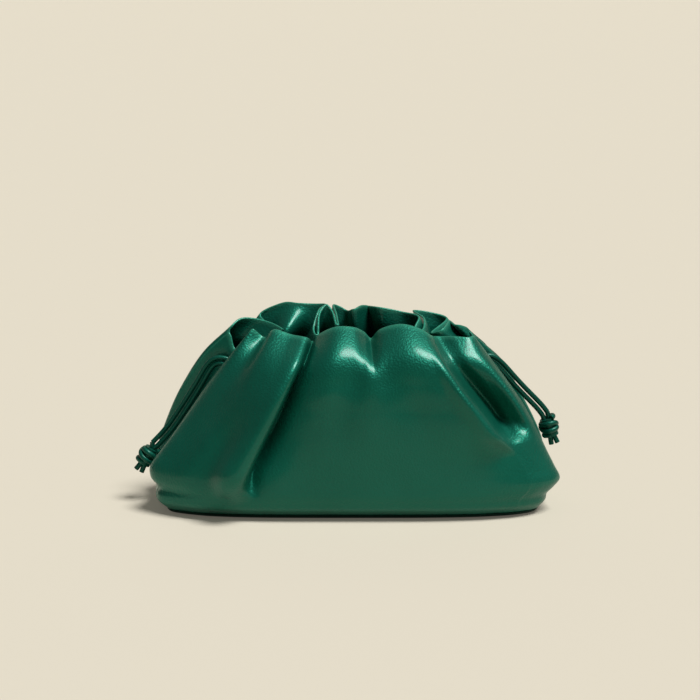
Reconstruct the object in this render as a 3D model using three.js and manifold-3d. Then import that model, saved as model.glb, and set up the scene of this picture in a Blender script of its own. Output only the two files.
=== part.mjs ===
// A soft gathered pouch bag of smooth leather that stands on its own base: front, back and two folded side
// panels over a flat base, gathered into a ruffled mouth, with a pair of drawcords knotted at each side.
// Millimetres. X runs to the right as seen from the front, Y to the back and Z up. The origin is the middle
// of the base's underside.

import * as THREE from "three";
import Module from "manifold-3d";
import { mergeVertices } from "three/addons/utils/BufferGeometryUtils.js";

// Driving dimensions
const bagWidth = 226; // over the side folds at their widest
const bagDepth = 90; // front to back where the bag is fullest
const frontRimHeight = 97; // floor to the middle line of the front rim
const backRimHeight = 103; // floor to the middle line of the back rim
const sideRimHeight = 86; // floor to the rim of a side panel at its inner fold
const seamHeight = 3; // floor to the seam between the base and the walls
const baseRound = 7; // how far the base rounds in below that seam
const leatherWall = 1.2;
const baseWall = 1.6;
const seamGap = 0.4;
const gatherDepth = 10; // the scale of the gathers at the rim, front to back
const foldDepth = 10; // the scale of the folds in the walls, front to back
const rimWave = 8; // the scale of the rise and fall of the rim
const sideFoldDepth = 15; // how far a side panel folds in between its two edges
const cordDiameter = 2.8;
const strandGap = 0.4; // between the two strands of a cord
const knotLength = 14.5;
const knotWidth = 11.4;
const tailLength = 4; // how far a strand's cut end stands out of its knot
const knotGap = 0.3; // between a knot and the strands that come to it

const halfWidth = bagWidth / 2;
const halfDepth = bagDepth / 2;
const strandPitch = cordDiameter + strandGap;
const gatherLevel = 0.6; // the share of the wall's height above which the gathers show
const levelStep = 0.01; // how far above and below a point its slope is taken, as a share of the wall's height
const leastHalfTurn = 0.6; // limits how far the inner face moves in at a sharp fold
const leastSine = 0.15; // limits how far a panel's end draws back from a sharp fold
const strandSteps = 16;
const wraps = 3; // turns of cord around a knot
const wrapDepth = 0.12; // how deep the grooves between them are, as a share of the radius
const tailSplay = 0.4; // radians between a knot's axis and each cut end

const wasm = await Module();
wasm.setup();
const { Manifold, Mesh } = wasm;

// The pouch without its folds, a row for each level. level is the share of the wall's height. The four widths
// are shares of halfWidth, from the middle to each side fold. front and back are shares of halfDepth.
const sections = [
  { level: 0, frontLeft: 0.9, frontRight: 0.89, backLeft: 0.9, backRight: 0.89, front: 0.85, back: 0.85 },
  { level: 0.04, frontLeft: 0.945, frontRight: 0.925, backLeft: 0.94, backRight: 0.935, front: 0.95, back: 0.94 },
  { level: 0.08, frontLeft: 0.955, frontRight: 0.935, backLeft: 0.955, backRight: 0.95, front: 0.98, back: 0.975 },
  { level: 0.12, frontLeft: 0.945, frontRight: 0.97, backLeft: 0.965, backRight: 0.96, front: 1, back: 0.99 },
  { level: 0.17, frontLeft: 0.98, frontRight: 1, backLeft: 0.985, backRight: 0.96, front: 1, back: 1 },
  { level: 0.24, frontLeft: 0.985, frontRight: 0.975, backLeft: 0.985, backRight: 0.95, front: 1, back: 1 },
  { level: 0.32, frontLeft: 0.94, frontRight: 0.942, backLeft: 0.965, backRight: 0.94, front: 1, back: 0.985 },
  { level: 0.45, frontLeft: 0.86, frontRight: 0.89, backLeft: 0.925, backRight: 0.895, front: 1, back: 0.94 },
  { level: 0.6, frontLeft: 0.775, frontRight: 0.825, backLeft: 0.87, backRight: 0.83, front: 0.98, back: 0.84 },
  { level: 0.75, frontLeft: 0.69, frontRight: 0.74, backLeft: 0.795, backRight: 0.76, front: 0.93, back: 0.65 },
  { level: 0.88, frontLeft: 0.6, frontRight: 0.66, backLeft: 0.715, backRight: 0.675, front: 0.79, back: 0.38 },
  { level: 1, frontLeft: 0.51, frontRight: 0.585, backLeft: 0.61, backRight: 0.575, front: 0.36, back: 0.38 },
];

// Where the front and back edges of a side panel run, as shares of halfDepth, at the seam and at the rim.
const cornerAtSeam = 0.52;
const frontCornerAtRim = 0.09;
const backCornerAtRim = 0.1;

// How square the plan is, as the exponent of its curve, at the seam and at the rim.
const squareAtSeam = 4;
const squareAtRim = 2.4;

// How far from the middle the outer folds of the back panel lie low down, as a share of its half width.
const backSpread = 0.965;

// The front panel's crests and valleys from left to right. body and rim are the places of a fold line across
// the panel, from -1 to 1, low down and at the rim. bulge and gather are how far it stands out there, as
// shares of foldDepth and gatherDepth, ends is the level where it dies out, fade the share of the height over
// which it does so, and rise the share of rimWave.
const frontFolds = [
  { body: -0.965, rim: -0.96, bulge: 0, gather: 0, ends: 0.7, fade: 0.25, rise: 0.25 },
  { body: -0.82, rim: -0.845, bulge: -0.05, gather: -0.3, ends: 0.6, fade: 0.25, rise: -0.3 },
  { body: -0.68, rim: -0.75, bulge: 0.25, gather: 0.2, ends: 0.4, fade: 0.25, rise: 0.4 },
  { body: -0.6, rim: -0.58, bulge: 0.5, gather: 0.3, ends: 0.06, fade: 0.2, rise: 0.1 },
  { body: -0.54, rim: -0.435, bulge: 0.5, gather: 0.45, ends: 0.08, fade: 0.2, rise: -0.05 },
  { body: -0.495, rim: -0.39, bulge: -1.6, gather: -0.8, ends: 0.08, fade: 0.35, rise: -0.6 },
  { body: -0.41, rim: -0.33, bulge: -0.5, gather: -0.15, ends: 0.12, fade: 0.35, rise: 0.05 },
  { body: -0.2, rim: -0.17, bulge: 0.1, gather: 0.3, ends: 0.5, fade: 0.25, rise: 0.7 },
  { body: -0.02, rim: 0, bulge: 0, gather: 0.2, ends: 0.75, fade: 0.25, rise: 0.65 },
  { body: 0.06, rim: 0.085, bulge: 0, gather: -0.3, ends: 0.88, fade: 0.12, rise: 0.2 },
  { body: 0.11, rim: 0.145, bulge: 0, gather: -0.45, ends: 0.88, fade: 0.12, rise: -0.3 },
  { body: 0.2, rim: 0.22, bulge: 0, gather: 0.15, ends: 0.8, fade: 0.2, rise: 0.5 },
  { body: 0.42, rim: 0.38, bulge: 0.1, gather: 0.4, ends: 0.3, fade: 0.25, rise: 0.9 },
  { body: 0.66, rim: 0.53, bulge: 0.35, gather: 0.6, ends: 0.3, fade: 0.25, rise: 0.65 },
  { body: 0.82, rim: 0.64, bulge: 0.8, gather: 0.6, ends: 0.34, fade: 0.14, rise: 0.1 },
  { body: 0.86, rim: 0.685, bulge: -1.9, gather: -0.8, ends: 0.4, fade: 0.12, rise: -0.3 },
  { body: 0.91, rim: 0.83, bulge: -1, gather: -0.3, ends: 0.4, fade: 0.12, rise: -0.25 },
  { body: 0.97, rim: 0.95, bulge: 0.1, gather: 0.1, ends: 0.38, fade: 0.25, rise: -0.3 },
];

// The back panel's crests and valleys in the order of its rim from left to right, which doubles back on itself
// in the ruffles. neck is how far a fold stands out where the cord gathers the panel, below the rim.
const backFolds = [
  { rim: -0.98, gather: -0.05, neck: 0, ends: 0.55, rise: -0.55 },
  { rim: -0.91, gather: 0.15, neck: 0, ends: 0.55, rise: -0.15 },
  { rim: -0.8, gather: 0.2, neck: 0, ends: 0.55, rise: -0.25 },
  { rim: -0.66, gather: -0.2, neck: 0, ends: 0.6, rise: -0.55 },
  { rim: -0.57, gather: -1, neck: 0, ends: 0.6, rise: -0.8 },
  { rim: -0.71, gather: 0.55, neck: 0, ends: 0.6, rise: -0.65 },
  { rim: -0.76, gather: 1.25, neck: 0, ends: 0.6, rise: -0.1 },
  { rim: -0.58, gather: 1.2, neck: 0, ends: 0.6, rise: 0.55 },
  { rim: -0.45, gather: 0.9, neck: -1.2, ends: 0.6, rise: 0.55 },
  { rim: -0.32, gather: 0.85, neck: 0, ends: 0.55, rise: 0.5 },
  { rim: -0.22, gather: 0.4, neck: 0, ends: 0.5, rise: 0.55 },
  { rim: -0.27, gather: -0.6, neck: 0, ends: 0.5, rise: 0.35 },
  { rim: -0.31, gather: -1.45, neck: 0, ends: 0.5, rise: -0.65 },
  { rim: -0.29, gather: -1.85, neck: 0, ends: 0.5, rise: -1 },
  { rim: -0.28, gather: -1.15, neck: 0, ends: 0.5, rise: 0.3 },
  { rim: -0.22, gather: -0.65, neck: 0, ends: 0.5, rise: 0.8 },
  { rim: -0.16, gather: -1, neck: 0, ends: 0.5, rise: 0.35 },
  { rim: -0.13, gather: -1.8, neck: 0, ends: 0.55, rise: -0.35 },
  { rim: -0.15, gather: -0.75, neck: 0, ends: 0.6, rise: 0.25 },
  { rim: -0.17, gather: 0.1, neck: 0, ends: 0.6, rise: 0.6 },
  { rim: -0.11, gather: 0.4, neck: 0, ends: 0.6, rise: 0.4 },
  { rim: -0.04, gather: 0.2, neck: 0, ends: 0.6, rise: 0.15 },
  { rim: 0, gather: -0.9, neck: 0, ends: 0.55, rise: 0.5 },
  { rim: 0.06, gather: -0.2, neck: 0, ends: 0.5, rise: 0.6 },
  { rim: 0.13, gather: 0.4, neck: 0, ends: 0.5, rise: 0.45 },
  { rim: 0.21, gather: -0.6, neck: 0, ends: 0.5, rise: 0.6 },
  { rim: 0.42, gather: -0.4, neck: 0, ends: 0.55, rise: 0.25 },
  { rim: 0.56, gather: -0.9, neck: 0, ends: 0.6, rise: 0.1 },
  { rim: 0.53, gather: -1.65, neck: 0, ends: 0.6, rise: -0.5 },
  { rim: 0.58, gather: -1.6, neck: 0, ends: 0.55, rise: -0.7 },
  { rim: 0.59, gather: -0.65, neck: 0, ends: 0.55, rise: -0.15 },
  { rim: 0.51, gather: 0.35, neck: 0, ends: 0.55, rise: 0.15 },
  { rim: 0.68, gather: 0.9, neck: 0, ends: 0.55, rise: -0.05 },
  { rim: 0.81, gather: 0.65, neck: 0, ends: 0.6, rise: -0.35 },
  { rim: 0.67, gather: -1.1, neck: 0, ends: 0.6, rise: -0.95 },
  { rim: 0.75, gather: -1.3, neck: 0, ends: 0.55, rise: -0.7 },
  { rim: 0.82, gather: -0.05, neck: 0, ends: 0.5, rise: -0.35 },
  { rim: 0.87, gather: -0.65, neck: 0, ends: 0.55, rise: -0.45 },
  { rim: 0.97, gather: 0.1, neck: 0, ends: 0.6, rise: -0.85 },
];

// The side panels' fold lines from the front edge to the back edge. across is the share of the way, fold the
// share of sideFoldDepth and drop the share of the rim's drop from the edges to sideRimHeight.
const sideFolds = [
  { across: 0.14, fold: 0.35, drop: 0.25 },
  { across: 0.32, fold: 0.8, drop: 0.85 },
  { across: 0.5, fold: 1, drop: 1 },
  { across: 0.68, fold: 0.8, drop: 0.85 },
  { across: 0.86, fold: 0.35, drop: 0.25 },
];

// The middle line between the two strands of each drawcord, from where they leave the side panel to the knot.
const leftRoute = [
  [-67.9, -1.2, 78.9],
  [-70.1, -1.1, 79.7],
  [-72.4, -1.0, 80.2],
  [-74.4, -0.8, 80.3],
  [-76.5, -0.6, 79.6],
  [-78.4, -0.3, 78.2],
  [-80.2, 0.0, 76.0],
  [-81.9, 0.3, 73.2],
  [-83.8, 0.6, 69.9],
  [-86.0, 0.9, 66.1],
  [-88.5, 1.2, 62.0],
  [-91.3, 1.4, 57.5],
  [-94.4, 1.6, 52.7],
  [-97.8, 1.8, 47.6],
  [-101.5, 1.9, 42.3],
  [-105.9, 2.0, 37.0],
  [-110.6, 2.0, 32.1],
];
const rightRoute = [
  [69.9, 0.3, 79.9],
  [71.6, 0.4, 80.7],
  [73.3, 0.6, 81.1],
  [75.2, 0.9, 81.1],
  [77.3, 1.2, 80.3],
  [79.4, 1.6, 78.8],
  [81.5, 2.0, 76.8],
  [83.8, 2.4, 74.3],
  [86.3, 2.8, 71.4],
  [89.0, 3.2, 68.3],
  [91.9, 3.6, 65.1],
  [94.9, 4.0, 61.9],
  [98.0, 4.3, 58.7],
  [101.1, 4.6, 55.5],
  [104.0, 4.8, 52.3],
  [106.5, 5.0, 49.0],
];

// Which way each knot points away from its cord.
const leftKnotAxis = [-0.52, 0, -0.85];
const rightKnotAxis = [0.32, 0, -0.95];

const mix = THREE.MathUtils.lerp;
const ease = THREE.MathUtils.smoothstep;

// A smooth curve through four even values, between the second and the third.
function spline(a, b, c, d, t) {
  return b + 0.5 * t * (c - a + t * (2 * a - 5 * b + 4 * c - d + t * (3 * (b - c) + d - a)));
}

// One column of the sections table at any level, as a smooth curve through its rows.
function section(column, level) {
  const last = sections.length - 1;
  let i = 0;
  while (i < last - 1 && sections[i + 1].level < level) i += 1;
  const [p, q] = [sections[i], sections[i + 1]];
  const t = (level - p.level) / (q.level - p.level);
  const slope = (j) => {
    const [before, after] = [sections[Math.max(j - 1, 0)], sections[Math.min(j + 1, last)]];
    return (after[column] - before[column]) / (after.level - before.level);
  };
  const span = q.level - p.level;
  const [h00, h10] = [(1 + 2 * t) * (1 - t) ** 2, t * (1 - t) ** 2];
  const [h01, h11] = [t * t * (3 - 2 * t), t * t * (t - 1)];
  return h00 * p[column] + h10 * span * slope(i) + h01 * q[column] + h11 * span * slope(i + 1);
}

// The Y of the front (side -1) or back (side 1) edge of a side panel.
function cornerY(side, level) {
  const atRim = side < 0 ? frontCornerAtRim : backCornerAtRim;
  return side * halfDepth * mix(cornerAtSeam, atRim, level ** 0.85);
}

// A point of the unfolded front or back panel, place running from -1 at its left edge to 1 at its right.
function panelGuide(side, place, level) {
  const name = (side < 0 ? "front" : "back") + (place < 0 ? "Left" : "Right");
  const x = place * halfWidth * section(name, level);
  const square = mix(squareAtSeam, squareAtRim, level);
  const crown = (1 - Math.min(Math.abs(place), 1) ** square) ** 0.6;
  const corner = cornerY(side, level);
  const middle = side * halfDepth * section(side < 0 ? "front" : "back", level);
  return new THREE.Vector2(x, mix(corner, middle, crown));
}

// The height of a fold line, which rises or falls with the rim's wave near the top.
function heightAt(rim, rise, level) {
  return mix(seamHeight, rim, level) + rise * rimWave * ease(level, 0.7, 1);
}

// A fold line of the front panel.
function frontLine(fold) {
  return (level) => {
    const place = mix(fold.body, fold.rim, ease(level, 0.2, 1));
    const { x, y } = panelGuide(-1, place, level);
    const out = mix(fold.bulge * foldDepth, fold.gather * gatherDepth, ease(level, 0.6, 1));
    const grown = ease(level, fold.ends, fold.ends + fold.fade);
    return new THREE.Vector3(x, y - out * grown, heightAt(frontRimHeight, fold.rise, level));
  };
}

// How far along the back rim each fold lies, from 0 at the first to 1 at the last.
const backReach = backFolds.map(() => 0);
backFolds.slice(1).forEach((fold, i) => {
  const across = (fold.rim - backFolds[i].rim) * halfWidth * sections.at(-1).backRight;
  const out = (fold.gather - backFolds[i].gather) * gatherDepth;
  backReach[i + 1] = backReach[i] + Math.hypot(across, out);
});

// A fold line of the back panel. Low down the folds are spread by the length of rim between them. Their
// sideways shift dies out before their depth, so they never cross.
function backLine(fold, i) {
  const body = mix(-backSpread, backSpread, backReach[i] / backReach.at(-1));
  return (level) => {
    const place = mix(body, fold.rim, ease(level, 0.45, 1) ** 2);
    const { x, y } = panelGuide(1, place, level);
    const neck = fold.neck * ease(level, 0.6, 0.85) * (1 - ease(level, 0.85, 1));
    const out = (fold.gather * ease(level, fold.ends, 1) + neck) * gatherDepth;
    return new THREE.Vector3(x, y + out, heightAt(backRimHeight, fold.rise, level));
  };
}

// The fold where the front or back panel meets the side panel.
function edgeLine(side, hand) {
  return (level) => {
    const { x, y } = panelGuide(side, hand, level);
    const rim = side < 0 ? frontRimHeight - 0.3 * rimWave : backRimHeight - rimWave;
    return new THREE.Vector3(x, y, mix(seamHeight, rim, level));
  };
}

// A fold line of a side panel, on the left (hand -1) or the right (hand 1). It bulges a little over the base,
// folds in above that, and comes out again at the rim, where the drawcord gathers it.
function sideLine(hand, fold) {
  const [front, back] = [edgeLine(-1, hand), edgeLine(1, hand)];
  const edgeRim = mix(front(1).z, back(1).z, fold.across);
  const rim = mix(edgeRim, sideRimHeight, fold.drop);
  return (level) => {
    const point = front(level).lerp(back(level), fold.across);
    const inward = mix(-0.15, 1, ease(level, 0.05, 0.5)) * (1 - 1.1 * ease(level, 0.8, 1));
    point.x -= hand * fold.fold * sideFoldDepth * inward;
    point.z = mix(seamHeight, rim, level);
    return point;
  };
}

// All fold lines around the pouch, counted anticlockwise from the left end of the front panel.
const lines = [
  edgeLine(-1, -1),
  ...frontFolds.map(frontLine),
  edgeLine(-1, 1),
  ...sideFolds.map((fold) => sideLine(1, fold)),
  edgeLine(1, 1),
  ...backFolds.map(backLine).reverse(),
  edgeLine(1, -1),
  ...[...sideFolds].reverse().map((fold) => sideLine(-1, fold)),
];
const frontEnd = frontFolds.length + 1;
const rightEnd = frontEnd + sideFolds.length + 1;
const backEnd = rightEnd + backFolds.length + 1;
const leftEnd = lines.length;

// A point of the outer face, at any place around the pouch, counted in fold lines, and at any level.
function wallPoint(around, level) {
  const i = Math.floor(around);
  const t = around - i;
  const [a, b, c, d] = [-1, 0, 1, 2].map((k) => lines[(i + k + lines.length) % lines.length](level));
  return new THREE.Vector3(
    spline(a.x, b.x, c.x, d.x, t),
    spline(a.y, b.y, c.y, d.y, t),
    spline(a.z, b.z, c.z, d.z, t),
  );
}

// The levels at which the walls are cut: the sections' own, and one between each pair in the gathered part.
const levels = sections.flatMap(({ level }, i) => {
  const next = sections[i + 1];
  return next && level >= gatherLevel ? [level, (level + next.level) / 2] : [level];
});

// The panels, each from one fold line to another, with its number of columns for each fold.
const panels = [
  { name: "front_panel", from: 0, to: frontEnd, columnsPerFold: 2 },
  { name: "side_panel_right", from: frontEnd, to: rightEnd, columnsPerFold: 2 },
  { name: "back_panel", from: rightEnd, to: backEnd, columnsPerFold: 2 },
  { name: "side_panel_left", from: backEnd, to: leftEnd, columnsPerFold: 2 },
];
const columns = panels.flatMap(({ from, to, columnsPerFold }) =>
  Array.from({ length: (to - from) * columnsPerFold }, (_, i) => from + i / columnsPerFold),
);

// The outer face at one level, a point for each column.
function outerRing(level) {
  return columns.map((around) => wallPoint(around, level));
}

// The inner face at one level: every point of the outer face moved in by the wall, further where it turns.
function innerRing(level, wall) {
  const ring = outerRing(level);
  const above = outerRing(Math.min(level + levelStep, 1));
  const below = outerRing(Math.max(level - levelStep, 0));
  return ring.map((point, i) => {
    const before = point.clone().sub(ring.at(i - 1)).normalize();
    const after = ring[(i + 1) % ring.length].clone().sub(point).normalize();
    const along = before.add(after);
    const halfTurn = Math.max(along.length() / 2, leastHalfTurn);
    const up = above[i].clone().sub(below[i]);
    const normal = along.normalize().cross(up);
    if (level === 0) normal.z = 0;
    normal.normalize();
    return point.clone().addScaledVector(normal, -wall / halfTurn);
  });
}

// The rings of the whole wall, which every panel takes its own columns from.
const rings = levels.map((level) => ({ outer: outerRing(level), inner: innerRing(level, leatherWall) }));

// A run of a ring's points.
function run(ring, first, count) {
  return Array.from({ length: count + 1 }, (_, i) => ring[(first + i) % ring.length].clone());
}

// Draws one end of a row back from the fold line, so that it stays half a seam gap from the end face that it
// would share. across is the direction of that face through the wall.
function drawBack(row, end, across) {
  const point = row.at(end);
  const next = row.at(end === 0 ? 1 : -2);
  const way = next.clone().sub(point);
  const sine = way.clone().normalize().cross(across).length();
  const length = Math.min(seamGap / 2 / Math.max(sine, leastSine), way.length() / 2);
  point.addScaledVector(way.normalize(), length);
}

// A closed solid between two grids of points of the same size, the first facing out.
function solidBetween(outer, inner) {
  const [rows, width] = [outer.length, outer[0].length];
  const at = (layer, r, c) => (layer * rows + r) * width + c;
  const faces = [];
  const quad = (a, b, c, d) => faces.push(a, b, c, a, c, d);
  for (let r = 0; r < rows - 1; r += 1) {
    for (let c = 0; c < width - 1; c += 1) {
      quad(at(0, r, c), at(0, r, c + 1), at(0, r + 1, c + 1), at(0, r + 1, c));
      quad(at(1, r, c), at(1, r + 1, c), at(1, r + 1, c + 1), at(1, r, c + 1));
    }
    quad(at(0, r, 0), at(0, r + 1, 0), at(1, r + 1, 0), at(1, r, 0));
    quad(at(0, r, width - 1), at(1, r, width - 1), at(1, r + 1, width - 1), at(0, r + 1, width - 1));
  }
  for (let c = 0; c < width - 1; c += 1) {
    quad(at(1, 0, c), at(1, 0, c + 1), at(0, 0, c + 1), at(0, 0, c));
    quad(at(0, rows - 1, c), at(0, rows - 1, c + 1), at(1, rows - 1, c + 1), at(1, rows - 1, c));
  }
  return new THREE.BufferGeometry().setFromPoints([...outer.flat(), ...inner.flat()]).setIndex(faces);
}

// One leather panel.
function panel({ from, to, columnsPerFold }) {
  const first = columns.indexOf(from);
  const count = (to - from) * columnsPerFold;
  const outer = rings.map((ring) => run(ring.outer, first, count));
  const inner = rings.map((ring) => run(ring.inner, first, count));
  outer.forEach((row, i) => {
    for (const end of [0, -1]) {
      const across = inner[i].at(end).clone().sub(row.at(end)).normalize();
      drawBack(row, end, across);
      drawBack(inner[i], end, across);
    }
  });
  return solidBetween(outer, inner);
}

// A closed dish between rings of points that run down its outside, over its underside's middle, and back up its
// inside from the middle to the rim.
function dish(outside, inside) {
  const all = [...outside, ...inside];
  const width = all[0].length;
  const under = all.length * width;
  const floor = under + 1;
  const faces = [];
  const band = (r, q) => {
    for (let c = 0; c < width; c += 1) {
      const d = (c + 1) % width;
      faces.push(r * width + c, q * width + c, q * width + d, r * width + c, q * width + d, r * width + d);
    }
  };
  const fan = (r, middle) => {
    for (let c = 0; c < width; c += 1) faces.push(r * width + c, middle, r * width + ((c + 1) % width));
  };
  for (let r = 0; r < outside.length - 1; r += 1) band(r, r + 1);
  fan(outside.length - 1, under);
  for (let r = outside.length; r < all.length - 1; r += 1) band(r, r + 1);
  band(all.length - 1, 0);
  for (let c = 0; c < width; c += 1) {
    faces.push(floor, outside.length * width + c, outside.length * width + ((c + 1) % width));
  }
  const middles = [
    new THREE.Vector3(0, 0, outside.at(-1)[0].z),
    new THREE.Vector3(0, 0, inside[0][0].z),
  ];
  return new THREE.BufferGeometry().setFromPoints([...all.flat(), ...middles]).setIndex(faces);
}

// The base: flat underneath, and rounded up to the seam with the walls.
function base() {
  const seam = outerRing(0).filter((_, i) => i % 2 === 0);
  const top = seamHeight - seamGap;
  const ring = (inset, z) =>
    seam.map(({ x, y }) => new THREE.Vector3(x * (1 - inset / halfWidth), y * (1 - inset / halfDepth), z));
  const turns = [0, 30, 60, 90].map(THREE.MathUtils.degToRad);
  const outside = turns.map((turn) => ring(baseRound * (1 - Math.cos(turn)), top * (1 - Math.sin(turn))));
  const inside = turns.map((turn) =>
    ring(mix(baseRound, baseWall, Math.cos(turn)), mix(top, baseWall, Math.sin(turn))),
  );
  return dish(outside, inside.reverse());
}

// One strand of a cord, beside the route of the pair: above it (side 1) or below it (side -1).
function strand(route, side) {
  const middle = new THREE.CatmullRomCurve3(route.map((point) => new THREE.Vector3(...point)));
  const points = middle.points.map((point, i) => {
    const along = middle.getTangent(i / (route.length - 1));
    const across = new THREE.Vector3(-along.z, 0, along.x).normalize();
    return point.clone().addScaledVector(across, (side * strandPitch) / 2);
  });
  const section = new THREE.Shape().absarc(0, 0, cordDiameter / 2, 0, 2 * Math.PI);
  const path = new THREE.CatmullRomCurve3(points);
  return new THREE.ExtrudeGeometry(section, {
    steps: strandSteps,
    curveSegments: 4,
    bevelEnabled: false,
    extrudePath: path,
  });
}

// A closed geometry as a solid for joining.
function solid(geometry) {
  const plain = geometry.clone();
  plain.deleteAttribute("normal");
  plain.deleteAttribute("uv");
  const merged = mergeVertices(plain, 1e-4);
  return new Manifold(
    new Mesh({
      numProp: 3,
      vertProperties: new Float32Array(merged.attributes.position.array),
      triVerts: new Uint32Array(merged.index.array),
    }),
  );
}

// A solid as a geometry for a mesh.
function geometryOf(joined) {
  const { vertProperties, triVerts } = joined.getMesh();
  const geometry = new THREE.BufferGeometry();
  geometry.setAttribute("position", new THREE.BufferAttribute(vertProperties, 3));
  geometry.setIndex(new THREE.BufferAttribute(triVerts, 1));
  geometry.computeVertexNormals();
  return geometry;
}

// A tight knot that points down along Z from its top at the origin: a bulb with the wraps as ridges around it,
// and the two cut ends of the strands under it.
function knot() {
  const rings = 14;
  const profile = Array.from({ length: rings + 1 }, (_, i) => {
    const t = i / rings;
    const bulb = Math.sqrt(Math.sin(Math.PI * mix(0.07, 0.93, t)));
    const wrap = 1 - wrapDepth * (0.5 + 0.5 * Math.cos(2 * Math.PI * wraps * t));
    return new THREE.Vector2((knotWidth / 2) * bulb * wrap, -knotLength * (1 - t));
  });
  const closed = [new THREE.Vector2(0, -knotLength), ...profile, new THREE.Vector2(0, 0)];
  const bulb = new THREE.LatheGeometry(closed, 12).rotateX(Math.PI / 2);
  const tail = new THREE.CylinderGeometry(cordDiameter / 2, cordDiameter / 2, tailLength * 2, 8);
  tail.rotateX(Math.PI / 2);
  const tails = [-1, 1].map((side) =>
    solid(tail.clone().rotateY(side * tailSplay).translate((side * strandPitch) / 2, 0, -knotLength)),
  );
  return geometryOf(tails.reduce((all, one) => all.add(one), solid(bulb)));
}

const leather = new THREE.MeshStandardMaterial({ color: 0x1f5f49, roughness: 0.42, metalness: 0 });
const cordLeather = new THREE.MeshStandardMaterial({ color: 0x1c5a45, roughness: 0.5, metalness: 0 });

function piece(name, geometry, material) {
  const mesh = new THREE.Mesh(geometry, material);
  mesh.name = name;
  return mesh;
}

// A knot that hangs from the end of a route.
function hungKnot(name, route, axis) {
  const mesh = piece(name, knot(), cordLeather);
  const down = new THREE.Vector3(...axis).normalize();
  const end = new THREE.Vector3(...route.at(-1));
  const slant = new THREE.Vector3(...route.at(-2)).sub(end).normalize().angleTo(down.clone().negate());
  mesh.quaternion.setFromUnitVectors(new THREE.Vector3(0, 0, -1), down);
  mesh.position.copy(end).addScaledVector(down, knotGap + strandPitch * Math.sin(slant));
  return mesh;
}

const pouch = new THREE.Group();
panels.forEach((each) => pouch.add(piece(each.name, panel(each), leather)));
pouch.add(
  piece("base", base(), leather),
  piece("cord_left_a", strand(leftRoute, 1), cordLeather),
  piece("cord_left_b", strand(leftRoute, -1), cordLeather),
  piece("cord_right_a", strand(rightRoute, 1), cordLeather),
  piece("cord_right_b", strand(rightRoute, -1), cordLeather),
  hungKnot("knot_left", leftRoute, leftKnotAxis),
  hungKnot("knot_right", rightRoute, rightKnotAxis),
);

export default pouch;
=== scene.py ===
# A soft gathered pouch bag of smooth green leather on its own base, with a ruffled mouth, folded side panels
# and a pair of drawcords knotted at each side. Metres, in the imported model's frame: X to the right as seen
# from the front, Y to the back, Z up.
import math

import bpy
import numpy as np
from mathutils import Matrix, Vector


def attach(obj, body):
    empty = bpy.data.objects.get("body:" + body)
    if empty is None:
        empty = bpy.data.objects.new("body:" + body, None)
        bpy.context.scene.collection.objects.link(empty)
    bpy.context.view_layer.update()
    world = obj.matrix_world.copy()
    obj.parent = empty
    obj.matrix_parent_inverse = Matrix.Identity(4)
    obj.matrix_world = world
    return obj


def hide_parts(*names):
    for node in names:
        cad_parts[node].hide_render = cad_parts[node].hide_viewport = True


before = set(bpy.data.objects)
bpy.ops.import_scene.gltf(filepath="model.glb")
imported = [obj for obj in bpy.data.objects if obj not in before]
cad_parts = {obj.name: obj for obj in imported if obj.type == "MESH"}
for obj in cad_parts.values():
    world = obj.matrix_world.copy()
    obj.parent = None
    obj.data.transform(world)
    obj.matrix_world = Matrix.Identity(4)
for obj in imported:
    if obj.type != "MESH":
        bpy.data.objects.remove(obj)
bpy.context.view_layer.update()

MM = 0.001

# Camera
CAMERA_AIM = Vector((-1.9, 0.0, 86.0)) * MM
CAMERA_ELEVATION = math.radians(11.5)
CAMERA_DISTANCE = 1.07
CAMERA_LENS_MM = 100.0

# The bag's own sizes
BAG_WIDTH = 226 * MM
BAG_DEPTH = 90 * MM
FRONT_RIM_HEIGHT = 97 * MM
BACK_RIM_HEIGHT = 103 * MM
SIDE_RIM_HEIGHT = 86 * MM
SEAM_HEIGHT = 3 * MM
BASE_ROUND = 7 * MM
LEATHER_WALL = 1.2 * MM
BASE_WALL = 1.6 * MM
SEAM_GAP = 0.4 * MM
GATHER_DEPTH = 10 * MM
FOLD_DEPTH = 10 * MM
RIM_WAVE = 8 * MM
SIDE_FOLD_DEPTH = 15 * MM
CORD_DIAMETER = 2.8 * MM
STRAND_GAP = 0.4 * MM
KNOT_LENGTH = 14.5 * MM
KNOT_WIDTH = 11.4 * MM
TAIL_LENGTH = 4 * MM
KNOT_GAP = 0.3 * MM
KNOT_TURNS = 2.7

HALF_WIDTH = BAG_WIDTH / 2
HALF_DEPTH = BAG_DEPTH / 2
STRAND_PITCH = CORD_DIAMETER + STRAND_GAP

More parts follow.
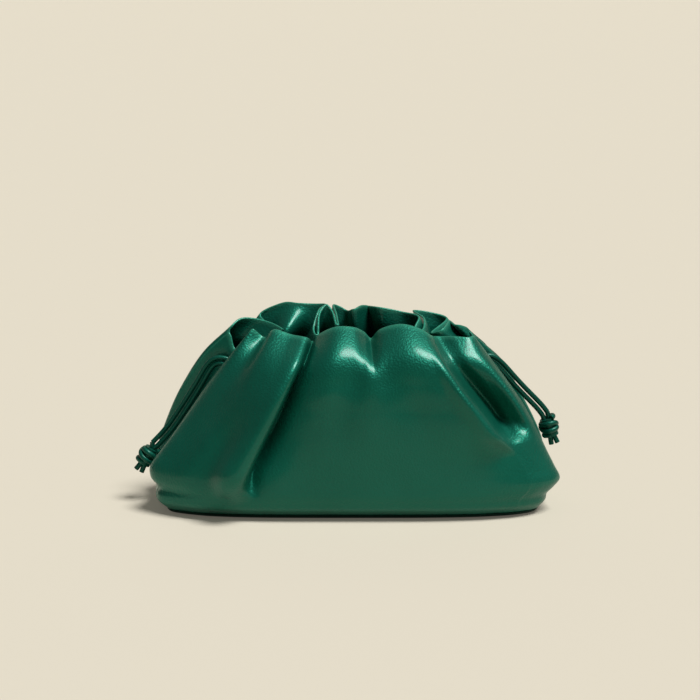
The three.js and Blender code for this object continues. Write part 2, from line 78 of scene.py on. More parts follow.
# The middle line between the two strands of each drawcord, in millimetres.
LEFT_ROUTE = [
    (-67.9, -1.2, 78.9),
    (-70.1, -1.1, 79.7),
    (-72.4, -1.0, 80.2),
    (-74.4, -0.8, 80.3),
    (-76.5, -0.6, 79.6),
    (-78.4, -0.3, 78.2),
    (-80.2, 0.0, 76.0),
    (-81.9, 0.3, 73.2),
    (-83.8, 0.6, 69.9),
    (-86.0, 0.9, 66.1),
    (-88.5, 1.2, 62.0),
    (-91.3, 1.4, 57.5),
    (-94.4, 1.6, 52.7),
    (-97.8, 1.8, 47.6),
    (-101.5, 1.9, 42.3),
    (-105.9, 2.0, 37.0),
    (-110.6, 2.0, 32.1),
]
RIGHT_ROUTE = [
    (69.9, 0.3, 79.9),
    (71.6, 0.4, 80.7),
    (73.3, 0.6, 81.1),
    (75.2, 0.9, 81.1),
    (77.3, 1.2, 80.3),
    (79.4, 1.6, 78.8),
    (81.5, 2.0, 76.8),
    (83.8, 2.4, 74.3),
    (86.3, 2.8, 71.4),
    (89.0, 3.2, 68.3),
    (91.9, 3.6, 65.1),
    (94.9, 4.0, 61.9),
    (98.0, 4.3, 58.7),
    (101.1, 4.6, 55.5),
    (104.0, 4.8, 52.3),
    (106.5, 5.0, 49.0),
]
LEFT_KNOT_AXIS = (-0.52, 0, -0.85)
RIGHT_KNOT_AXIS = (0.32, 0, -0.95)

# The pouch without its folds, a row for each level, as in the bag's source.
SECTIONS = np.array(
    [
        # level, frontLeft, frontRight, backLeft, backRight, front, back
        (0.00, 0.900, 0.890, 0.900, 0.890, 0.850, 0.850),
        (0.04, 0.945, 0.925, 0.940, 0.935, 0.950, 0.940),
        (0.08, 0.955, 0.935, 0.955, 0.950, 0.980, 0.975),
        (0.12, 0.945, 0.970, 0.965, 0.960, 1.000, 0.990),
        (0.17, 0.980, 1.000, 0.985, 0.960, 1.000, 1.000),
        (0.24, 0.985, 0.975, 0.985, 0.950, 1.000, 1.000),
        (0.32, 0.940, 0.942, 0.965, 0.940, 1.000, 0.985),
        (0.45, 0.860, 0.890, 0.925, 0.895, 1.000, 0.940),
        (0.60, 0.775, 0.825, 0.870, 0.830, 0.980, 0.840),
        (0.75, 0.690, 0.740, 0.795, 0.760, 0.930, 0.650),
        (0.88, 0.600, 0.660, 0.715, 0.675, 0.790, 0.380),
        (1.00, 0.510, 0.585, 0.610, 0.575, 0.360, 0.380),
    ]
)
COLUMN = {"front_left": 1, "front_right": 2, "back_left": 3, "back_right": 4, "front": 5, "back": 6}

CORNER_AT_SEAM = 0.52
FRONT_CORNER_AT_RIM = 0.09
BACK_CORNER_AT_RIM = 0.1
SQUARE_AT_SEAM = 4
SQUARE_AT_RIM = 2.4
BACK_SPREAD = 0.965

# The front panel's crests and valleys from left to right.
FRONT_FOLDS = [
    dict(body=-0.965, rim=-0.96, bulge=0, gather=0, ends=0.7, fade=0.25, rise=0.25),
    dict(body=-0.82, rim=-0.845, bulge=-0.05, gather=-0.3, ends=0.6, fade=0.25, rise=-0.3),
    dict(body=-0.68, rim=-0.75, bulge=0.25, gather=0.2, ends=0.4, fade=0.25, rise=0.4),
    dict(body=-0.6, rim=-0.58, bulge=0.5, gather=0.3, ends=0.06, fade=0.2, rise=0.1),
    dict(body=-0.54, rim=-0.435, bulge=0.5, gather=0.45, ends=0.08, fade=0.2, rise=-0.05),
    dict(body=-0.495, rim=-0.39, bulge=-1.6, gather=-0.8, ends=0.08, fade=0.35, rise=-0.6),
    dict(body=-0.41, rim=-0.33, bulge=-0.5, gather=-0.15, ends=0.12, fade=0.35, rise=0.05),
    dict(body=-0.2, rim=-0.17, bulge=0.1, gather=0.3, ends=0.5, fade=0.25, rise=0.7),
    dict(body=-0.02, rim=0.0, bulge=0, gather=0.2, ends=0.75, fade=0.25, rise=0.65),
    dict(body=0.06, rim=0.085, bulge=0, gather=-0.3, ends=0.88, fade=0.12, rise=0.2),
    dict(body=0.11, rim=0.145, bulge=0, gather=-0.45, ends=0.88, fade=0.12, rise=-0.3),
    dict(body=0.2, rim=0.22, bulge=0, gather=0.15, ends=0.8, fade=0.2, rise=0.5),
    dict(body=0.42, rim=0.38, bulge=0.1, gather=0.4, ends=0.3, fade=0.25, rise=0.9),
    dict(body=0.66, rim=0.53, bulge=0.35, gather=0.6, ends=0.3, fade=0.25, rise=0.65),
    dict(body=0.82, rim=0.64, bulge=0.8, gather=0.6, ends=0.34, fade=0.14, rise=0.1),
    dict(body=0.86, rim=0.685, bulge=-1.9, gather=-0.8, ends=0.4, fade=0.12, rise=-0.3),
    dict(body=0.91, rim=0.83, bulge=-1.0, gather=-0.3, ends=0.4, fade=0.12, rise=-0.25),
    dict(body=0.97, rim=0.95, bulge=0.1, gather=0.1, ends=0.38, fade=0.25, rise=-0.3),
]

# The back panel's crests and valleys from left to right.
BACK_FOLDS = [
    dict(rim=-0.98, gather=-0.05, neck=0, ends=0.55, rise=-0.55),
    dict(rim=-0.91, gather=0.15, neck=0, ends=0.55, rise=-0.15),
    dict(rim=-0.8, gather=0.2, neck=0, ends=0.55, rise=-0.25),
    dict(rim=-0.66, gather=-0.2, neck=0, ends=0.6, rise=-0.55),
    dict(rim=-0.57, gather=-1, neck=0, ends=0.6, rise=-0.8),
    dict(rim=-0.71, gather=0.55, neck=0, ends=0.6, rise=-0.65),
    dict(rim=-0.76, gather=1.25, neck=0, ends=0.6, rise=-0.1),
    dict(rim=-0.58, gather=1.2, neck=0, ends=0.6, rise=0.55),
    dict(rim=-0.45, gather=0.9, neck=-1.2, ends=0.6, rise=0.55),
    dict(rim=-0.32, gather=0.85, neck=0, ends=0.55, rise=0.5),
    dict(rim=-0.22, gather=0.4, neck=0, ends=0.5, rise=0.55),
    dict(rim=-0.27, gather=-0.6, neck=0, ends=0.5, rise=0.35),
    dict(rim=-0.31, gather=-1.45, neck=0, ends=0.5, rise=-0.65),
    dict(rim=-0.29, gather=-1.85, neck=0, ends=0.5, rise=-1),
    dict(rim=-0.28, gather=-1.15, neck=0, ends=0.5, rise=0.3),
    dict(rim=-0.22, gather=-0.65, neck=0, ends=0.5, rise=0.8),
    dict(rim=-0.16, gather=-1, neck=0, ends=0.5, rise=0.35),
    dict(rim=-0.13, gather=-1.8, neck=0, ends=0.55, rise=-0.35),
    dict(rim=-0.15, gather=-0.75, neck=0, ends=0.6, rise=0.25),
    dict(rim=-0.17, gather=0.1, neck=0, ends=0.6, rise=0.6),
    dict(rim=-0.11, gather=0.4, neck=0, ends=0.6, rise=0.4),
    dict(rim=-0.04, gather=0.2, neck=0, ends=0.6, rise=0.15),
    dict(rim=0.0, gather=-0.9, neck=0, ends=0.55, rise=0.5),
    dict(rim=0.06, gather=-0.2, neck=0, ends=0.5, rise=0.6),
    dict(rim=0.13, gather=0.4, neck=0, ends=0.5, rise=0.45),
    dict(rim=0.21, gather=-0.6, neck=0, ends=0.5, rise=0.6),
    dict(rim=0.42, gather=-0.4, neck=0, ends=0.55, rise=0.25),
    dict(rim=0.56, gather=-0.9, neck=0, ends=0.6, rise=0.1),
    dict(rim=0.53, gather=-1.65, neck=0, ends=0.6, rise=-0.5),
    dict(rim=0.58, gather=-1.6, neck=0, ends=0.55, rise=-0.7),
    dict(rim=0.59, gather=-0.65, neck=0, ends=0.55, rise=-0.15),
    dict(rim=0.51, gather=0.35, neck=0, ends=0.55, rise=0.15),
    dict(rim=0.68, gather=0.9, neck=0, ends=0.55, rise=-0.05),
    dict(rim=0.81, gather=0.65, neck=0, ends=0.6, rise=-0.35),
    dict(rim=0.67, gather=-1.1, neck=0, ends=0.6, rise=-0.95),
    dict(rim=0.75, gather=-1.3, neck=0, ends=0.55, rise=-0.7),
    dict(rim=0.82, gather=-0.05, neck=0, ends=0.5, rise=-0.35),
    dict(rim=0.87, gather=-0.65, neck=0, ends=0.55, rise=-0.45),
    dict(rim=0.97, gather=0.1, neck=0, ends=0.6, rise=-0.85),
]

# The side panels' fold lines from the front edge to the back edge.
SIDE_FOLDS = [
    dict(across=0.14, fold=0.35, drop=0.25),
    dict(across=0.32, fold=0.8, drop=0.85),
    dict(across=0.5, fold=1.0, drop=1.0),
    dict(across=0.68, fold=0.8, drop=0.85),
    dict(across=0.86, fold=0.35, drop=0.25),
]

# Soft swells and hollows of the front: the middle and the half sizes across and up, the lean of the fold
# across for each millimetre up, and how far it stands out. Millimetres.
SOFT_FOLDS = [
    dict(x=-8, z=62, wide=8, tall=26, lean=0.05, out=-1.1),
    dict(x=9, z=66, wide=9, tall=28, lean=0.0, out=1.0),
    dict(x=33, z=58, wide=10, tall=26, lean=-0.25, out=-0.9),
    dict(x=10, z=81, wide=5, tall=9, lean=0.0, out=1.5),
    dict(x=-68, z=24, wide=11, tall=16, lean=0.4, out=3.0),
    dict(x=-54, z=46, wide=9, tall=34, lean=0.49, out=2.2),
    dict(x=-84, z=50, wide=10, tall=26, lean=0.75, out=-1.5),
]

# How finely the walls are cut
COLUMNS_PER_FOLD = 10
WALL_ROWS = 110
HEM_ROWS = 6


def mix(a, b, t):
    return a + (b - a) * t


def ease(x, low, high):
    t = np.clip((x - low) / (high - low), 0, 1)
    return t * t * (3 - 2 * t)


# Camera

def make_camera():
    data = bpy.data.cameras.new("camera")
    data.lens = CAMERA_LENS_MM
    camera = bpy.data.objects.new("camera", data)
    bpy.context.collection.objects.link(camera)
    away = Vector((0, -math.cos(CAMERA_ELEVATION), math.sin(CAMERA_ELEVATION)))
    camera.location = CAMERA_AIM + away * CAMERA_DISTANCE
    camera.rotation_euler = (-away).to_track_quat("-Z", "Y").to_euler()
    bpy.context.scene.camera = camera


make_camera()


# Materials

# Painted highlight colour for the rolled rim and the folds where panels meet.
EDGE_HIGHLIGHT_COLOR = (0.03, 0.2, 0.13)
SHEEN_COLOR = (0.05, 0.95, 0.65)
PAPER_COLOR = (0.555, 0.512, 0.42)
PAPER_GLOW = (0.78, 0.72, 0.59)
GRAIN_DEPTH = 0.2 * MM


def node_material(name):
    material = bpy.data.materials.new(name)
    material.use_nodes = True
    nodes = material.node_tree.nodes
    return material, nodes, material.node_tree.links, nodes["Principled BSDF"]


def leather_material(name, low, high, grain_mm, roughness, bump, gloss):
    """Smooth leather: slow changes of tone between low and high, a painted highlight of paler colour along
    the rim and panel edges, a fine pebble grain and an uneven satin gloss."""
    material, nodes, links, shader = node_material(name)
    place = nodes.new("ShaderNodeTexCoord")

    tone = nodes.new("ShaderNodeTexNoise")
    tone.inputs["Scale"].default_value = 22
    tone.inputs["Detail"].default_value = 4
    links.new(place.outputs["Object"], tone.inputs["Vector"])
    ramp = nodes.new("ShaderNodeValToRGB")
    ramp.color_ramp.elements[0].position = 0.3
    ramp.color_ramp.elements[0].color = (*low, 1)
    ramp.color_ramp.elements[1].position = 0.7
    ramp.color_ramp.elements[1].color = (*high, 1)
    links.new(tone.outputs["Fac"], ramp.inputs["Fac"])
    # Painted highlight: the edge attribute mixes a paler green in along the rim and panel edges.
    edge_highlight_mask = nodes.new("ShaderNodeAttribute")
    edge_highlight_mask.attribute_name = "edge"
    edge = nodes.new("ShaderNodeMix")
    edge.data_type = "RGBA"
    edge.inputs["B"].default_value = (*EDGE_HIGHLIGHT_COLOR, 1)
    links.new(edge_highlight_mask.outputs["Fac"], edge.inputs["Factor"])
    links.new(ramp.outputs["Color"], edge.inputs["A"])
    links.new(edge.outputs["Result"], shader.inputs["Base Color"])

    pebbles = nodes.new("ShaderNodeTexVoronoi")
    pebbles.feature = "SMOOTH_F1"
    pebbles.inputs["Scale"].default_value = 1000 / grain_mm
    pebbles.inputs["Smoothness"].default_value = 0.6
    links.new(place.outputs["Object"], pebbles.inputs["Vector"])
    fine = nodes.new("ShaderNodeTexNoise")
    fine.inputs["Scale"].default_value = 1600 / grain_mm
    fine.inputs["Detail"].default_value = 3
    links.new(place.outputs["Object"], fine.inputs["Vector"])
    height = nodes.new("ShaderNodeMath")
    height.operation = "MULTIPLY_ADD"
    height.inputs[1].default_value = 0.35
    links.new(fine.outputs["Fac"], height.inputs[0])
    links.new(pebbles.outputs["Distance"], height.inputs[2])
    grain = nodes.new("ShaderNodeBump")
    grain.inputs["Strength"].default_value = bump
    grain.inputs["Distance"].default_value = GRAIN_DEPTH
    links.new(height.outputs["Value"], grain.inputs["Height"])
    links.new(grain.outputs["Normal"], shader.inputs["Normal"])

    patches = nodes.new("ShaderNodeTexNoise")
    patches.inputs["Scale"].default_value = 90
    patches.inputs["Detail"].default_value = 5
    links.new(place.outputs["Object"], patches.inputs["Vector"])
    rough = nodes.new("ShaderNodeMapRange")
    rough.inputs["To Min"].default_value = roughness - 0.05
    rough.inputs["To Max"].default_value = roughness + 0.07
    links.new(patches.outputs["Fac"], rough.inputs["Value"])
    links.new(rough.outputs["Result"], shader.inputs["Roughness"])
    shader.inputs["Specular IOR Level"].default_value = 0.95 * gloss
    shader.inputs["Specular Tint"].default_value = (*SHEEN_COLOR, 1)
    shader.inputs["Coat Weight"].default_value = 0.32 * gloss
    shader.inputs["Coat Roughness"].default_value = 0.2
    shader.inputs["Coat Tint"].default_value = (0.9, 1.0, 0.95, 1)
    return material


def floor_material():
    """Matt pale paper that glows a little, so that the background stays even."""
    material, _, _, shader = node_material("studio_paper")
    shader.inputs["Base Color"].default_value = (*PAPER_COLOR, 1)
    shader.inputs["Emission Color"].default_value = (*PAPER_GLOW, 1)
    shader.inputs["Emission Strength"].default_value = 0.12
    shader.inputs["Roughness"].default_value = 1.0
    shader.inputs["Specular IOR Level"].default_value = 0.0
    return material


LEATHER = leather_material(
    "pouch_leather",
    low=(0.001, 0.047, 0.029),
    high=(0.002, 0.067, 0.043),
    grain_mm=1.1,
    roughness=0.46,
    bump=0.9,
    gloss=1.0,
)
# Painted shade: the cords and knots use the bag's green leather made darker, for the shade of the side folds
# they lie in.
CORD_LEATHER_PAINTED_SHADE = leather_material(
    "cord_leather",
    low=(0.001, 0.03, 0.019),
    high=(0.002, 0.046, 0.03),
    grain_mm=0.6,
    roughness=0.5,
    bump=0.5,
    gloss=0.7,
)
# Painted shade: the base is the bag's green leather coloured near black, for the shade under the bag.
BASE_LEATHER_PAINTED_SHADE = leather_material(
    "base_leather_painted_shade",
    low=(0.001, 0.004, 0.003),
    high=(0.001, 0.008, 0.005),
    grain_mm=0.9,
    roughness=0.6,
    bump=0.8,
    gloss=0.2,
)


# Cords and knots

def smooth_points(points, per_step):
    """A Catmull-Rom curve through points, with per_step pieces between each pair."""
    points = np.asarray(points, float)
    padded = np.vstack([2 * points[0] - points[1], points, 2 * points[-1] - points[-2]])
    out = []
    for i in range(len(points) - 1):
        a, b, c, d = padded[i : i + 4]
        for t in np.arange(per_step) / per_step:
            out.append(b + 0.5 * t * (c - a + t * (2 * a - 5 * b + 4 * c - d + t * (3 * (b - c) + d - a))))
    out.append(points[-1])
    return np.array(out)


def strand_points(route, side):
    """The points of one strand, beside the route of its pair."""
    middle = np.array(route) * MM
    along = np.gradient(middle, axis=0)
    across = np.stack([-along[:, 2], np.zeros(len(middle)), along[:, 0]], axis=1)
    across /= np.linalg.norm(across, axis=1, keepdims=True)
    return middle + across * side * STRAND_PITCH / 2


def tube_curve(name, points, radius, material):
    data = bpy.data.curves.new(name, "CURVE")
    data.dimensions = "3D"
    data.bevel_depth = radius
    data.bevel_resolution = 5
    data.use_fill_caps = True
    spline = data.splines.new("POLY")
    spline.points.add(len(points) - 1)
    for target, point in zip(spline.points, points):
        target.co = (*point, 1)
    spline.use_smooth = True
    data.materials.append(material)
    curve = bpy.data.objects.new(name, data)
    bpy.context.collection.objects.link(curve)
    return curve


def join(name, objects):
    """Turns objects into one mesh object."""
    bpy.ops.object.select_all(action="DESELECT")
    for each in objects:
        each.select_set(True)
    bpy.context.view_layer.objects.active = objects[0]
    bpy.ops.object.convert(target="MESH")
    bpy.ops.object.join()
    joined = bpy.context.view_layer.objects.active
    joined.name = name
    joined.data.name = name
    return joined


def around_bulb(side, radius):
    """The middle line of one strand's wraps around the knot's bulb, from near its top to below its middle."""
    points = []
    for step in np.linspace(0, 1, 72):
        angle = math.pi * (side * 0.5 + 0.25 + KNOT_TURNS * step)
        along = mix(0.14, 0.74, step) * KNOT_LENGTH + side * radius * 0.45
        bulb = (KNOT_WIDTH / 2 - radius) * math.sin(math.pi * mix(0.24, 0.8, step)) ** 0.5
        slant = radius * 0.9 * math.cos(angle + side)
        points.append((bulb * math.cos(angle), bulb * math.sin(angle), slant - along))
    return points


def make_knot(name, node, route, axis):
    """A tight overhand knot of both strands, with their short cut tails."""
    down = Vector(axis).normalized()
    end = Vector(route[-1]) * MM
    back = (Vector(route[-2]) * MM - end).normalized()
    slant = back.angle(-down)
    top = end + down * (KNOT_GAP + STRAND_PITCH * math.sin(slant))
    turn = Vector((0, 0, -1)).rotation_difference(down).to_matrix().to_4x4()
    place = Matrix.Translation(top) @ turn
    hand = 1 if end.x > 0 else -1
    radius = CORD_DIAMETER / 2
    core = [(0, 0, -share * KNOT_LENGTH) for share in (0.12, 0.3, 0.5, 0.7, 0.82)]
    parts = [tube_curve("core", core, KNOT_WIDTH / 2 - radius * 1.25, CORD_LEATHER_PAINTED_SHADE)]
    for side in (-1, 1):
        parts.append(tube_curve("wrap", around_bulb(side, radius), radius * 1.08, CORD_LEATHER_PAINTED_SHADE))
        tail = [
            (side * STRAND_PITCH * 0.3, 0, -KNOT_LENGTH * 0.7),
            (side * STRAND_PITCH * 0.42, 0, -KNOT_LENGTH * 0.95),
            (side * STRAND_PITCH * 0.55, 0, -KNOT_LENGTH - TAIL_LENGTH * 0.55),
        ]
        parts.append(tube_curve("tail", smooth_points(tail, 6), radius, CORD_LEATHER_PAINTED_SHADE))
        reach = Vector(strand_points(route, hand * side)[-1]) - back * KNOT_GAP / 2
        lead = [place.inverted() @ reach, (side * STRAND_PITCH * 0.4, 0, -KNOT_LENGTH * 0.3)]
        parts.append(tube_curve("lead", lead, radius, CORD_LEATHER_PAINTED_SHADE))
    knot = join(name, parts)
    knot.data.transform(place)
    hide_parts(node)
    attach(knot, "root")
    return knot


def make_cords():
    pairs = (
        ("left", LEFT_ROUTE, LEFT_KNOT_AXIS),
        ("right", RIGHT_ROUTE, RIGHT_KNOT_AXIS),
    )
    for side, route, axis in pairs:
        knot = make_knot(f"tied_knot_{side}", f"knot_{side}", route, axis)
        for letter, beside in (("a", 1), ("b", -1)):
            points = strand_points(route, beside)
            smooth = smooth_points(points, 2)
            cord = tube_curve(f"strand_{side}_{letter}", smooth, CORD_DIAMETER / 2, CORD_LEATHER_PAINTED_SHADE)
            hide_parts(f"cord_{side}_{letter}")
            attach(cord, "root")


make_cords()


# Walls

def section(name, level):
    """One column of the sections table at any levels."""
    levels = SECTIONS[:, 0]
    values = SECTIONS[:, COLUMN[name]]
    last = len(levels) - 1
    before = np.maximum(np.arange(last + 1) - 1, 0)
    after = np.minimum(np.arange(last + 1) + 1, last)
    slopes = (values[after] - values[before]) / (levels[after] - levels[before])
    i = np.clip(np.searchsorted(levels, level, side="right") - 1, 0, last - 1)
    span = levels[i + 1] - levels[i]
    t = (level - levels[i]) / span
    return (
        (1 + 2 * t) * (1 - t) ** 2 * values[i]
        + t * (1 - t) ** 2 * span * slopes[i]
        + t * t * (3 - 2 * t) * values[i + 1]
        + t * t * (t - 1) * span * slopes[i + 1]
    )


def guide(side, place, level):
    """The unfolded front (side -1) or back (side 1) panel, place running from -1 at its left edge to 1."""
    face = "front" if side < 0 else "back"
    left, right = section(face + "_left", level), section(face + "_right", level)
    x = place * HALF_WIDTH * np.where(place < 0, left, right)
    square = mix(SQUARE_AT_SEAM, SQUARE_AT_RIM, level)
    crown = np.maximum(1 - np.minimum(np.abs(place), 1) ** square, 0) ** 0.6
    at_rim = FRONT_CORNER_AT_RIM if side < 0 else BACK_CORNER_AT_RIM
    corner = side * HALF_DEPTH * mix(CORNER_AT_SEAM, at_rim, level**0.85)
    middle = side * HALF_DEPTH * section(face, level)
    return x, mix(corner, middle, crown)


def height(rim, rise, level):
    """The height of a fold line, which rises or falls with the rim's wave near the top."""
    return mix(SEAM_HEIGHT, rim, level) + rise * RIM_WAVE * ease(level, 0.7, 1)


def front_line(fold, level):
    place = mix(fold["body"], fold["rim"], ease(level, 0.2, 1))
    x, y = guide(-1, place, level)
    out = mix(fold["bulge"] * FOLD_DEPTH, fold["gather"] * GATHER_DEPTH, ease(level, 0.6, 1))
    grow = ease(level, fold["ends"], fold["ends"] + fold["fade"])
    return np.stack([x, y - out * grow, height(FRONT_RIM_HEIGHT, fold["rise"], level)], axis=1)


def spread(folds):
    """Where each fold of the gathered rim lies low down, from the length of rim between the folds."""
    across = np.diff([fold["rim"] for fold in folds]) * HALF_WIDTH * SECTIONS[-1, COLUMN["back_right"]]
    out = np.diff([fold["gather"] for fold in folds]) * GATHER_DEPTH
    reach = np.concatenate([[0], np.cumsum(np.hypot(across, out))])
    return mix(-BACK_SPREAD, BACK_SPREAD, reach / reach[-1])


def back_line(fold, body, level):
    place = mix(body, fold["rim"], ease(level, 0.45, 1) ** 2)
    x, y = guide(1, place, level)
    neck = fold["neck"] * ease(level, 0.6, 0.85) * (1 - ease(level, 0.85, 1))
    out = (fold["gather"] * ease(level, fold["ends"], 1) + neck) * GATHER_DEPTH
    return np.stack([x, y + out, height(BACK_RIM_HEIGHT, fold["rise"], level)], axis=1)


def edge_rim(side):
    return FRONT_RIM_HEIGHT - 0.3 * RIM_WAVE if side < 0 else BACK_RIM_HEIGHT - RIM_WAVE


def edge_line(side, hand, level):
    x, y = guide(side, np.full_like(level, hand), level)
    return np.stack([x, y, mix(SEAM_HEIGHT, edge_rim(side), level)], axis=1)


def side_line(hand, fold, level):
    point = mix(edge_line(-1, hand, level), edge_line(1, hand, level), fold["across"])
    rim = mix(mix(edge_rim(-1), edge_rim(1), fold["across"]), SIDE_RIM_HEIGHT, fold["drop"])
    inward = mix(-0.15, 1, ease(level, 0.05, 0.5)) * (1 - 1.1 * ease(level, 0.8, 1))
    point[:, 0] -= hand * fold["fold"] * SIDE_FOLD_DEPTH * inward
    point[:, 2] = mix(SEAM_HEIGHT, rim, level)
    return point


LEVELS = ease(np.linspace(0, 1, WALL_ROWS), -0.2, 1.2)
LEVELS = (LEVELS - LEVELS[0]) / (LEVELS[-1] - LEVELS[0])

LINES = np.array(
    [edge_line(-1, -1, LEVELS)]
    + [front_line(fold, LEVELS) for fold in FRONT_FOLDS]
    + [edge_line(-1, 1, LEVELS)]
    + [side_line(1, fold, LEVELS) for fold in SIDE_FOLDS]
    + [edge_line(1, 1, LEVELS)]
    + [back_line(fold, body, LEVELS) for fold, body in zip(BACK_FOLDS, spread(BACK_FOLDS))][::-1]
    + [edge_line(1, -1, LEVELS)]
    + [side_line(-1, fold, LEVELS) for fold in SIDE_FOLDS[::-1]]
)
FRONT_END = len(FRONT_FOLDS) + 1
RIGHT_END = FRONT_END + len(SIDE_FOLDS) + 1
BACK_END = RIGHT_END + len(BACK_FOLDS) + 1


def wall_grid():
    """The outer face of the whole wall: rows of levels by columns around it."""
    around = np.arange(len(LINES) * COLUMNS_PER_FOLD) / COLUMNS_PER_FOLD
    i = np.floor(around).astype(int)
    t = (around - i)[:, None, None]
    a, b, c, d = (LINES[(i + k) % len(LINES)] for k in (-1, 0, 1, 2))
    curve = b + 0.5 * t * (c - a + t * (2 * a - 5 * b + 4 * c - d + t * (3 * (b - c) + d - a)))
    return curve.transpose(1, 0, 2)


def normals_of(grid):
    """Outward normals of a grid that closes on itself around."""
    around = np.roll(grid, -1, axis=1) - np.roll(grid, 1, axis=1)
    up = np.gradient(grid, axis=0)
    normal = np.cross(around, up)
    return normal / np.linalg.norm(normal, axis=2, keepdims=True)


def grid_faces(index):
    """The quads of a grid of point numbers."""
    quads = np.stack([index[:-1, :-1], index[:-1, 1:], index[1:, 1:], index[1:, :-1]], axis=-1)
    return quads.reshape(-1, 4)


def mesh_object(name, points, faces, material):
    mesh = bpy.data.meshes.new(name)
    mesh.from_pydata(points.tolist(), [], faces)
    mesh.validate()
    mesh.shade_smooth()
    mesh.materials.append(material)
    piece = bpy.data.objects.new(name, mesh)
    bpy.context.collection.objects.link(piece)
    return piece


def swell(grid, normal):
    """Adds the front's soft swells and hollows to the outer face. They die out at the front panel's ends."""
    x, z = grid[:, :, 0] / MM, grid[:, :, 2] / MM
    out = np.zeros_like(x)
    for fold in SOFT_FOLDS:
        across = (x - fold["x"] - fold["lean"] * (z - fold["z"])) / fold["wide"]
        up = (z - fold["z"]) / fold["tall"]
        out += fold["out"] * MM * np.exp(-(across**2) - up**2)
    around = np.arange(grid.shape[1]) / COLUMNS_PER_FOLD
    ends = ease(around, 0, 1) * (1 - ease(around, FRONT_END - 1, FRONT_END))
    return grid + normal * (out * ends * ease(LEVELS, 0, 0.06)[:, None])[:, :, None]


def painted_edge_highlights(rows, columns):
    """Painted highlight: how much paler colour is painted on, at the rolled rim and along the folds where two
    panels meet.
    """
    rim = np.arange(rows)
    over = np.exp(-(((rim - (rows - 1) / 2) / (HEM_ROWS * 0.9)) ** 4))
    spot = np.arange(columns)
    near = np.minimum(spot, columns - 1 - spot)
    level = np.concatenate([LEVELS, np.ones(HEM_ROWS), LEVELS[::-1]])
    along = 0.5 * np.exp(-((near / 1.5) ** 2))[None, :] * ease(level, 0.1, 0.3)[:, None]
    return np.maximum(over[:, None] * 0.9, along)


def hemmed_wall(outer, normal):
    """Every row of a panel: up its outside, over the rolled rim and down its inside."""
    up = np.gradient(outer, axis=0)[-1]
    up /= np.linalg.norm(up, axis=1, keepdims=True)
    inward = -normal[-1]
    radius = LEATHER_WALL / 2
    roll = []
    for turn in np.linspace(0, math.pi, HEM_ROWS + 2)[1:-1]:
        roll.append(outer[-1] + radius * (inward * (1 - math.cos(turn)) + up * math.sin(turn)))
    inner = outer - normal * LEATHER_WALL
    return np.concatenate([outer, np.array(roll), inner[::-1]])


def panel_faces(rows, columns):
    """The faces of a panel whose rows run up its outside and down its inside, its ends and foot closed."""
    index = np.arange(rows * columns).reshape(rows, columns)
    faces = [grid_faces(index)]
    half = rows // 2
    for column, flip in ((0, False), (columns - 1, True)):
        near = index[:, column]
        far = near[::-1]
        cap = np.stack([near[: half - 1], near[1:half], far[1:half], far[: half - 1]], axis=-1)
        faces.append(cap if not flip else cap[:, ::-1])
    foot = np.stack([index[-1, :-1], index[-1, 1:], index[0, 1:], index[0, :-1]], axis=-1)
    faces.append(foot)
    return np.concatenate(faces)


def make_walls():
    plain = wall_grid()
    grid = swell(plain, normals_of(plain))
    rows = hemmed_wall(grid, normals_of(grid))
    panels = (
        ("front_leather", "front_panel", 0, FRONT_END),
        ("side_leather_right", "side_panel_right", FRONT_END, RIGHT_END),
        ("back_leather", "back_panel", RIGHT_END, BACK_END),
        ("side_leather_left", "side_panel_left", BACK_END, len(LINES)),
    )
    for name, node, first, last in panels:
        columns = np.arange(first * COLUMNS_PER_FOLD, last * COLUMNS_PER_FOLD + 1) % grid.shape[1]
        own = rows[:, columns]
        piece = mesh_object(name, own.reshape(-1, 3), panel_faces(*own.shape[:2]).tolist(), LEATHER)
        # Painted highlight: the paler colour along the rolled rim and the panel edges.
        pale = piece.data.attributes.new("edge", "FLOAT", "POINT")
        pale.data.foreach_set("value", painted_edge_highlights(*own.shape[:2]).astype(np.float32).ravel())
        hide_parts(node)
        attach(piece, "root")
    return grid


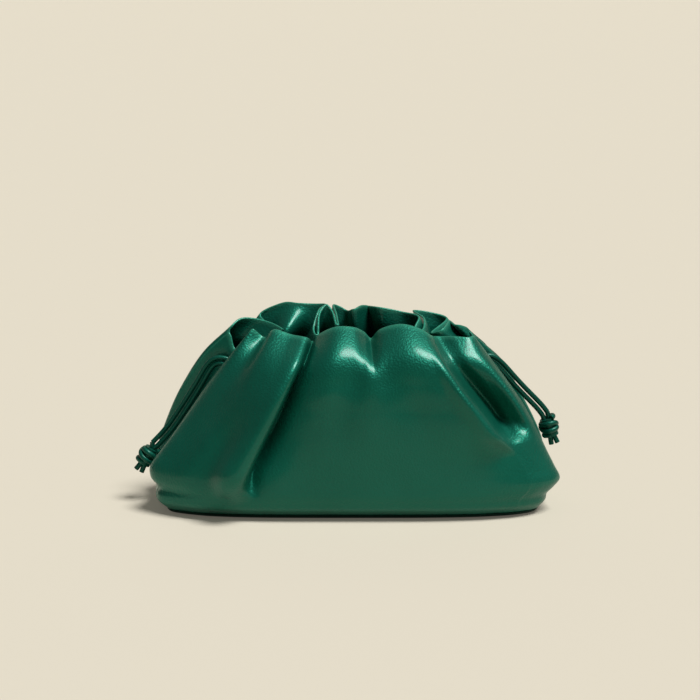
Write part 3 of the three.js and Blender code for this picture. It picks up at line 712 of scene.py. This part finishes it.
def make_base(seam):
    """The base: a closed dish, flat underneath and rounded up to the seam with the walls."""
    top = SEAM_HEIGHT - SEAM_GAP / 4
    count = len(seam)

    def ring(inset, z):
        flat = seam.copy()
        flat[:, 0] *= 1 - inset / HALF_WIDTH
        flat[:, 1] *= 1 - inset / HALF_DEPTH
        flat[:, 2] = z
        return flat

    turns = np.linspace(0, math.pi / 2, 9)
    outside = [ring(BASE_ROUND * (1 - math.cos(turn)), top * (1 - math.sin(turn))) for turn in turns]
    inside = [
        ring(mix(BASE_ROUND, BASE_WALL, math.cos(turn)), mix(top, BASE_WALL, math.sin(turn)))
        for turn in turns[::-1]
    ]
    points = np.vstack(outside + inside + [[(0, 0, 0), (0, 0, BASE_WALL)]])
    under, floor = len(points) - 2, len(points) - 1
    half = len(turns)
    bands = [(r, r + 1) for r in range(2 * half - 1) if r != half - 1] + [(2 * half - 1, 0)]
    beside = [(c, (c + 1) % count) for c in range(count)]
    faces = []
    for a, b in bands:
        faces += [(a * count + c, b * count + c, b * count + d, a * count + d) for c, d in beside]
    faces += [((half - 1) * count + c, under, (half - 1) * count + d) for c, d in beside]
    faces += [(floor, half * count + c, half * count + d) for c, d in beside]
    # Painted shade: the base gets the near-black leather for the shade beneath the bag.
    base = mesh_object("base_leather_painted_shade", points, faces, BASE_LEATHER_PAINTED_SHADE)
    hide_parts("base")
    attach(base, "root")


walls = make_walls()
make_base(walls[0][::3])


# Studio

def make_floor():
    size = 40.0
    sweep = 4.0
    bend = np.linspace(0, math.pi / 2, 16)
    curve = [(size + sweep * math.sin(turn), sweep * (1 - math.cos(turn))) for turn in bend]
    profile = [(-size, 0)] + curve + [(size + sweep, size)]
    points = np.array([(x, y, z) for y, z in profile for x in (-size, size)])
    quads = grid_faces(np.arange(len(points)).reshape(len(profile), 2))
    piece = mesh_object("studio_floor", points, quads.tolist(), floor_material())


def sun(name, away, strength, spread):
    data = bpy.data.lights.new(name, "SUN")
    data.energy = strength
    data.angle = spread
    light = bpy.data.objects.new(name, data)
    light.rotation_euler = Vector(away).to_track_quat("Z", "Y").to_euler()
    bpy.context.collection.objects.link(light)


def make_studio():
    make_floor()
    world = bpy.data.worlds.new("studio")
    world.use_nodes = True
    background = world.node_tree.nodes["Background"]
    background.inputs["Color"].default_value = (1.0, 1.0, 1.0, 1)
    background.inputs["Strength"].default_value = 0.11
    bpy.context.scene.world = world
    sun("key", away=(0.38, -0.2, 0.9), strength=3.85, spread=0.44)
    bpy.context.scene.view_settings.view_transform = "Standard"


make_studio()
